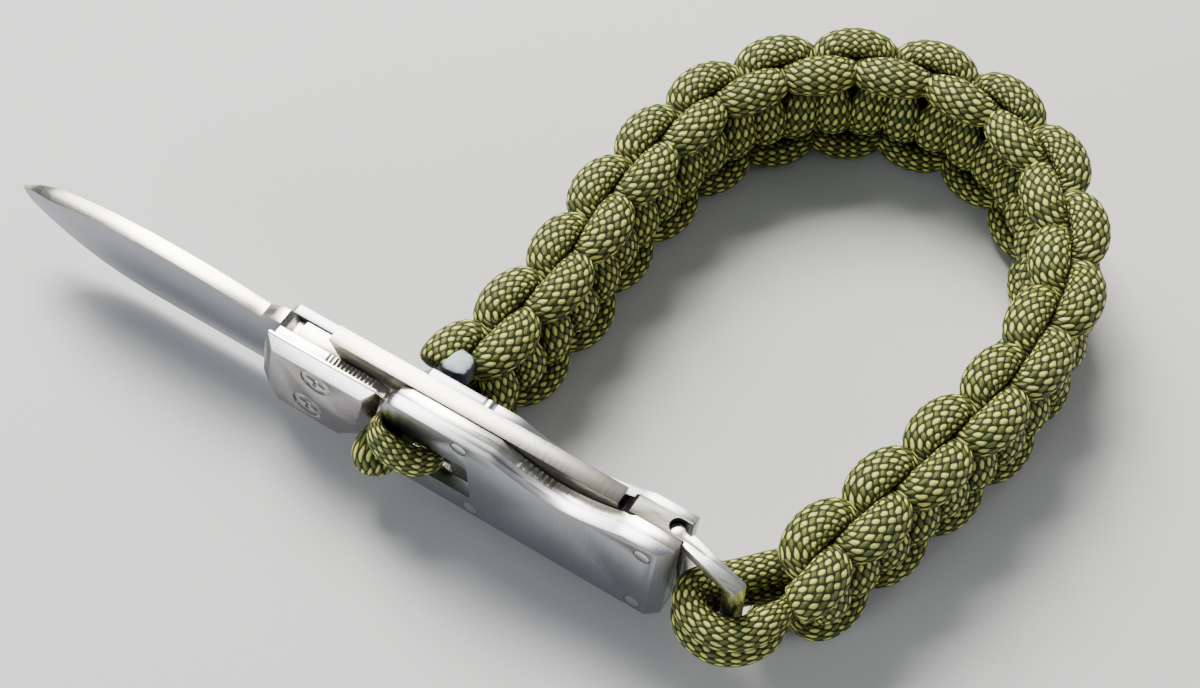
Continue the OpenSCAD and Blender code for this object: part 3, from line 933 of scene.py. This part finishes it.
@dataclass
class Band:
    """The knotted band: two cords that knot round a doubled core, all bent along one route.

    Lengths are in millimetres. The shares of a section are its least size, what it gains and the power.
    """

    tube: CordTube
    origin: Array
    knots: int = 17
    cord_wide: float = 2.3
    cord_high: float = 1.68
    wide_shares: Triple = (0.60, 0.44, 0.55)
    high_shares: Triple = (0.80, 0.24, 0.7)
    bend_up: float = 6.62
    cross_out: float = 2.92
    bend_in: float = 2.4
    weave_starts: tuple[float, float] = (0.935, 0.965)
    weave_past: float = 1.1251
    weave_samples: int = 28
    weave_sides: int = 24
    core_r: float = 1.05
    core_up: float = 1.15
    core_from: float = 2.2
    core_past: float = 0.8
    core_samples: int = 150
    core_sides: int = 20
    keeper_half: float = 0.55
    keeper_gap: float = 0.1
    keeper_run: float = -0.75
    keeper_swell: float = 1.1
    keeper_degrees: float = 80.0
    keeper_samples: int = 13
    loop_r: float = 1.8
    loop_gap: float = 0.1
    loop_samples: int = 7
    middle_up: float = 8.379
    sway: float = 0.516
    sway_twice: float = 0.178
    end_rise: float = 0.4
    rise_from: float = 0.7
    past_route: float = 12.0
    way_reach: float = 0.9
    route_samples: int = 8
    route: tuple[tuple[float, float], ...] = (
        (3.7, 9.8), (4.8, 17.2), (5.7, 26.7), (5.1, 36.3), (5.7, 45.6), (7.0, 53.9),
        (11.0, 62.0), (17.0, 68.0), (24.7, 71.8), (33.6, 72.8), (43.0, 69.7), (50.3, 62.1),
        (54.3, 53.2), (54.7, 40.3), (52.8, 30.8), (50.4, 21.4), (47.8, 12.0), (46.9, 7.2))
    loop_route: tuple[tuple[float, float], ...] = (
        (46.5, 5.2), (45.8, 2.5), (44.5, 0.2), (42.3, -1.1), (39.9, -1.0), (38.2, 0.0),
        (37.5, 1.6), (38.2, 3.1), (39.8, 4.6), (41.4, 6.2), (42.8, 7.8), (44.6, 9.6))

    def __post_init__(self) -> None:
        """Measures the route once, with a straight run added before and after it."""
        line = catmull_rom(np.array(self.route), self.route_samples)
        steps = run_along(line)
        self.length = float(steps[-1])
        first, last = line[1] - line[0], line[-1] - line[-2]
        self.table = np.vstack([line[0] - self.past_route * first / np.linalg.norm(first), line,
                                line[-1] + self.past_route * last / np.linalg.norm(last)])
        self.sums = np.concatenate([[-self.past_route], steps, [self.length + self.past_route]])
        self.half_knot = self.length / (2 * self.knots)

    def along(self, run: Array) -> Array:
        """Places on the route at these lengths."""
        return np.stack([np.interp(run, self.sums, self.table[:, k]) for k in (0, 1)], axis=1)

    def outward(self, run: Array) -> Array:
        """The way out of the loop at these lengths."""
        way = unit_rows(self.along(run + self.way_reach) - self.along(run - self.way_reach))
        return np.stack([-way[:, 1], way[:, 0]], axis=1)

    def bent(self, straight: Array) -> Array:
        """Bends points of the straight band along the route.

        Args:
            straight: each point's length along the band, its height and its distance outwards.

        Returns:
            Their places in the row frame, in millimetres.
        """
        flat = self.along(straight[:, 0]) + self.outward(straight[:, 0]) * straight[:, 2:3]
        share = np.clip((straight[:, 0] / self.length - self.rise_from) / (1 - self.rise_from), 0, 1)
        rise = self.end_rise * share * share * (3 - 2 * share)
        return np.column_stack([flat, straight[:, 1] + self.middle_up + rise]) + self.origin

    def straight_weave(self, u: Array, face: Face) -> Array:
        """The middle line of one cord of the weave in the straight band.

        Args:
            u: how many half knots along each point lies.
            face: the face on which the cord crosses.

        Returns:
            The points, as bent takes them.
        """
        mid, half = (self.cross_out - self.bend_in) / 2, (self.cross_out + self.bend_in) / 2
        turn = 2 * math.pi * u
        return np.column_stack([
            self.half_knot * (u - 1 + self.sway * np.sin(turn) + self.sway_twice * np.sin(2 * turn)),
            face.value * self.bend_up * np.cos(turn / 2),
            face.value * (mid - half * np.cos(turn))])

    def weave_line(self, face: Face) -> CordLine:
        """One cord of the weave, bent along the route.

        Args:
            face: the face on which the cord crosses.

        Returns:
            Its middle line and sections.
        """
        rest = np.arange(1.0, 2 * self.knots + self.weave_past, 1 / self.weave_samples)
        u = np.concatenate([self.weave_starts, rest])
        straight = self.straight_weave(u, face)
        out = np.column_stack([self.outward(straight[:, 0]) * straight[:, 2:3], straight[:, 1]])
        full = np.cos(2 * math.pi * u) ** 2
        high, wide = (
            size * (least + gain * full**power)
            for size, (least, gain, power) in (
                (self.cord_high, self.high_shares), (self.cord_wide, self.wide_shares)))
        return CordLine(self.bent(straight), out, high, wide)

    def flat_line(self, run: Array, height: Array, high: float, wide: float) -> CordLine:
        """A stretch of the core cord in the band's middle, with one even section.

        Args:
            run: each point's length along the band.
            height: its height from the band's middle.
            high: half the cord's size outwards.
            wide: half its size across that.

        Returns:
            Its middle line and sections.
        """
        straight = np.column_stack([run, height, np.zeros_like(run)])
        out = np.column_stack([self.outward(run), np.zeros_like(run)])
        return CordLine(self.bent(straight), out, np.full_like(run, high), np.full_like(run, wide))

    def core_line(self) -> CordLine:
        """The core cord: loop, strand, turn round the keeper, strand and second loop.

        Returns:
            Its middle line and sections.
        """
        run = np.linspace(self.core_from, self.length + self.core_past, self.core_samples)
        upper, lower = (
            self.flat_line(run, np.full_like(run, side * self.core_up), self.core_r, self.core_r)
            for side in (1, -1))
        angle = np.radians(np.linspace(self.keeper_degrees, -self.keeper_degrees, self.keeper_samples))
        turn = self.flat_line(
            self.keeper_run - self.core_up * np.cos(angle), self.core_up * np.sin(angle),
            self.core_r * self.keeper_swell, self.core_up - self.keeper_half - self.keeper_gap)
        order = [(self.loop_line(1), -1), (upper, -1), (turn, 1), (lower, 1), (self.loop_line(-1), 1)]
        return CordLine(*(np.concatenate([getattr(part, key)[::way] for part, way in order])
                          for key in ("centre", "out", "high", "wide")))

    def loop_line(self, side: int) -> CordLine:
        """One of the core's two loops round the bail, which swells to its loose size in its first span.

        Args:
            side: 1 for the upper loop, -1 for the lower one.

        Returns:
            Its middle line and sections.
        """
        line = catmull_rom(np.array(self.loop_route), self.loop_samples)
        way = unit_rows(np.gradient(line, axis=0))
        share = np.minimum(1.0, np.arange(len(line)) / self.loop_samples)
        radius = self.core_r + (self.loop_r - self.core_r) * share
        up = side * (self.core_up + (self.loop_r + self.loop_gap - self.core_up) * share)
        centre = np.column_stack([line, self.middle_up + self.end_rise + up]) + self.origin
        out = np.column_stack([-way[:, 1], way[:, 0], np.zeros(len(line))])
        return CordLine(centre, out, radius, radius)

    def build(self) -> None:
        """Makes the three cords and stands them for their CAD nodes."""
        for name, line, sides in (
            ("outer_weave_cord", self.weave_line(Face.OUTER), self.weave_sides),
            ("inner_weave_cord", self.weave_line(Face.INNER), self.weave_sides),
            ("core_cord", self.core_line(), self.core_sides),
        ):
            piece = self.tube.wrap(name + "_braided", line, sides)
            dress(piece, "bracelet", "cord", name)


@dataclass
class FrontTurn:
    """The cord's turn round the left bar of the front plate's window, and the melted end.

    Lengths are in millimetres. Each station is X, Y and Z, then half the cord's size up and across.
    """

    tube: CordTube
    origin: Array
    sides: int = 24
    samples: int = 9
    lean_after: int = 10
    lean_over: int = 3
    lean_x: tuple[float, float] = (0.12, 0.7)
    lean_y: float = 0.6
    end_shift: Triple = (0.1, 0.5, 1.9)
    end_half: Triple = (2.0, 1.8, 1.3)
    end_fill: float = 0.98
    end_squareness: float = 0.72
    end_fineness: int = 4
    end_crease: float = 70.0
    bump_seed: int = 7
    bump_count: int = 26
    bump_depths: tuple[float, float] = (-0.20, 0.16)
    bump_spread: float = 0.10
    stations: tuple[tuple[float, ...], ...] = (
        (-0.7, 2.3, 12.2, 0.8, 0.5), (-0.7, 1.2, 12.2, 1.2, 0.5), (-0.7, -0.5, 12.1, 1.6, 0.7),
        (0.3, -1.6, 11.8, 2.0, 1.3), (2.3, -1.8, 10.9, 2.2, 1.6), (4.6, -1.2, 10.0, 2.25, 1.5),
        (6.0, 0.4, 9.3, 2.0, 0.9), (5.4, 2.0, 8.4, 1.6, 0.55), (3.4, 2.2, 8.1, 1.5, 0.5),
        (1.2, 2.2, 7.8, 1.5, 0.5), (-0.4, 2.0, 7.5, 1.5, 0.55), (-1.4, 1.0, 7.1, 1.5, 0.9),
        (-1.3, -0.7, 8.4, 1.9, 1.5), (-1.1, -1.7, 7.9, 2.2, 1.9), (-0.6, -1.8, 6.5, 2.2, 1.9),
        (-0.3, -1.3, 5.0, 1.7, 1.4))

    def line(self) -> CordLine:
        """The turn, whose section stands upright first and leans over in its last lobe.

        Returns:
            Its middle line and sections.
        """
        rows = catmull_rom(np.array(self.stations), self.samples)
        centre = rows[:, :3] + self.origin
        way = unit_rows(np.gradient(centre, axis=0))
        spans = np.arange(len(rows)) - self.lean_after * self.samples
        lean = np.clip(spans / (self.lean_over * self.samples), 0, 1)
        start, gain = self.lean_x
        axis = np.column_stack([start - gain * lean, -self.lean_y * lean, np.ones(len(rows))])
        return CordLine(centre, square_to(way, axis), rows[:, 3], rows[:, 4])

    def melted_end(self, material: Material) -> bpy.types.Object:
        """The crushed, melted end of the cord beside the first knot.

        Args:
            material: its finish.

        Returns:
            The piece.
        """
        low, high = (np.array(corner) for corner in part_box("cord_end"))
        centre = (low + high) / 2 + np.array(self.end_shift) * MM
        half = np.array(self.end_half) * MM
        bm = bmesh.new()
        bmesh.ops.create_icosphere(bm, subdivisions=self.end_fineness, radius=1.0)
        rng = np.random.default_rng(self.bump_seed)
        bumps = unit_rows(rng.normal(size=(self.bump_count, 3)))
        depth = rng.uniform(*self.bump_depths, self.bump_count)
        for vert in bm.verts:
            way = np.array(vert.co)
            boxed = np.sign(way) * np.abs(way) ** self.end_squareness
            near = np.exp(-np.sum((bumps - way) ** 2, axis=1) / self.bump_spread)
            vert.co = Vector(centre + boxed * half * self.end_fill * (1.0 + float(near @ depth)))
        sharpen(bm, self.end_crease)
        mesh = mesh_of("melted_end", bm)
        mesh.materials.append(material)
        return new_piece("melted_end", mesh)

    def build(self, finishes: Finishes) -> None:
        """Makes the turn and the melted end."""
        dress(self.tube.wrap("front_turn_braided", self.line(), self.sides),
              "bracelet", "cord", "front_cord_turn")
        dress(self.melted_end(finishes.of("melted_cord")), "bracelet", "melted_cord", "cord_end")


@dataclass
class Clasp:
    """The steel clasp: its plates, rivets and screws, blade, lock bar, end block and bail."""

    finishes: Finishes
    eased: dict[str, float] = field(default_factory=lambda: {
        "front_bolster": 0.12, "front_liner": 0.08, "front_plate": 0.14, "back_plate": 0.10,
        "blade": 0.06, "lock_bar": 0.09, "end_block": 0.10, "bail": 0.18,
        "pivot_pin": 0.05, "lock_pin": 0.16, "end_rivet_upper": 0.16, "end_rivet_lower": 0.16,
        "front_rivet": 0.16, "bolster_screw_upper": 0.07, "bolster_screw_lower": 0.07})

    def build(self) -> None:
        """Dresses each steel piece with broken edges and its finish."""
        record = frame["record"]
        slots = {part["node"]: part["material_slot"] for part in record["subparts"]}
        bodies = {node: body for body, nodes in record["behaviour"]["bodies"].items() for node in nodes}
        for node, width in self.eased.items():
            piece = eased_copy(node, node + "_steel", width)
            piece.data.materials.append(self.finishes.of(slots[node]))
            dress(piece, bodies[node], slots[node], node)


# --- the studio


@dataclass(frozen=True)
class Softbox:
    """One square studio light that faces a point."""

    name: str
    place: Triple
    size: float
    power: float
    colour: Colour
    aim: Triple = (0.0, 0.0, 0.01)

    def hang(self) -> None:
        """Adds the light to the scene."""
        light = bpy.data.lights.new(self.name, "AREA")
        light.shape = "SQUARE"
        light.size = self.size
        light.energy = self.power
        light.color = self.colour
        lamp = bpy.data.objects.new(self.name, light)
        lamp.location = self.place
        lamp.rotation_euler = (Vector(self.aim) - Vector(self.place)).to_track_quat("-Z", "Y").to_euler()
        bpy.context.scene.collection.objects.link(lamp)


@dataclass
class Studio:
    """The pale floor, the soft light and the camera at the photograph's angle."""

    origin: Array
    camera_from_housing: Triple = (76.6, -77.4, 198.6)
    looking: tuple[float, float] = (-0.537, 0.844)
    down: float = 58.0
    lens: float = 60.0
    sensor: float = 36.0
    nearest: float = 0.01
    floor_half: float = 1.6
    floor_colour: Colour = (0.60, 0.60, 0.60)
    floor_roughness: float = 0.75
    sky_colour: Colour = (0.80, 0.88, 1.0)
    sky_power: float = 0.20

    def floor(self) -> None:
        """A wide pale floor at the height that the bracelet stands on."""
        bm = bmesh.new()
        bmesh.ops.create_grid(bm, x_segments=2, y_segments=2, size=self.floor_half)
        mesh = mesh_of("floor", bm)
        piece = new_piece("floor", mesh)
        material = bpy.data.materials.new("pale_floor")
        material.use_nodes = True
        shader = material.node_tree.nodes["Principled BSDF"]
        shader.inputs["Base Color"].default_value = (*self.floor_colour, 1.0)
        shader.inputs["Roughness"].default_value = self.floor_roughness
        mesh.materials.append(material)

    def camera(self) -> None:
        """The camera where the photograph was taken from."""
        data = bpy.data.cameras.new("camera")
        data.lens = self.lens
        data.sensor_width = self.sensor
        data.clip_start = self.nearest
        camera = bpy.data.objects.new("camera", data)
        camera.location = (np.array(self.camera_from_housing) + self.origin) * MM
        flat = Vector((*self.looking, 0.0)).normalized() * math.cos(math.radians(self.down))
        way = Vector((flat.x, flat.y, -math.sin(math.radians(self.down))))
        camera.rotation_euler = way.to_track_quat("-Z", "Y").to_euler()
        bpy.context.scene.collection.objects.link(camera)
        bpy.context.scene.camera = camera

    def light(self) -> None:
        """A soft sky and large softboxes, the main one from the upper left of the photograph."""
        world = bpy.data.worlds.new("soft_sky")
        world.use_nodes = True
        sky = world.node_tree.nodes["Background"]
        sky.inputs["Color"].default_value = (*self.sky_colour, 1.0)
        sky.inputs["Strength"].default_value = self.sky_power
        bpy.context.scene.world = world
        for box in (
            Softbox("key", (-0.38, 0.34, 0.68), 0.40, 17.0, (1.0, 0.97, 0.92)),
            Softbox("low", (-0.60, 0.38, 0.46), 0.34, 5.0, (1.0, 0.98, 0.95)),
            Softbox("front", (-0.24, -0.75, 0.22), 0.4, 4.0, (0.92, 0.96, 1.0)),
            Softbox("side", (0.65, 0.25, 0.30), 0.4, 1.5, (1.0, 0.98, 0.95)),
        ):
            box.hang()

    def build(self) -> None:
        """Sets the whole studio."""
        self.camera()
        self.floor()
        self.light()


def main() -> None:
    """Builds the bracelet round its frame, piece by piece."""
    logging.basicConfig(level=logging.INFO, format="%(message)s")
    origin = housing_origin()
    finishes = Finishes()
    Studio(origin).build()
    tube = CordTube(finishes.of("cord"))
    Band(tube, origin).build()
    FrontTurn(tube, origin).build(finishes)
    Clasp(finishes).build()


if __name__ == "__main__":
    main()
